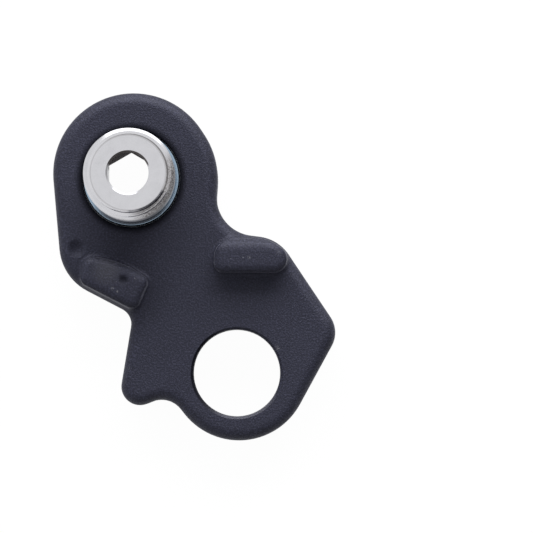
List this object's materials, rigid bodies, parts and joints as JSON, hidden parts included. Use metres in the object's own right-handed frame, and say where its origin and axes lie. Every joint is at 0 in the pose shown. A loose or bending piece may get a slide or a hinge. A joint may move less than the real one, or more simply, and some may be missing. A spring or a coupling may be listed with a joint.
{
  "type": "bicycle derailleur hanger",
  "caption": "Forged black link that carries a rear derailleur below the axle, with a captive hollow fixing bolt that turns in its upper boss.",
  "frame": {"origin": "on the fixing bolt's axis, at the link's inboard face that lies against the frame", "axes": "+Z inboard along the bolt towards its tip; +Y up, from the derailleur's bore towards the wheel axle; +X towards the derailleur's bore, which lies lower and behind"},
  "size_m": [0.0317, 0.039, 0.016],
  "materials": {
    "black_anodised": "bead-blasted and black anodised, matte",
    "turned_steel": "turned, bright plated",
    "spring_steel": "plain, slightly dark"
  },
  "bodies": {
    "link": {"link": "black_anodised", "stop_ring": "spring_steel"},
    "fixing_bolt": {"fixing_bolt": "turned_steel"}
  },
  "joints": [
    {"name": "fixing_bolt_turn", "type": "hinge", "parent": "link", "child": "fixing_bolt", "pos_m": [0, 0, 0], "axis": [0, 0, 1], "continuous": true}
  ]
}
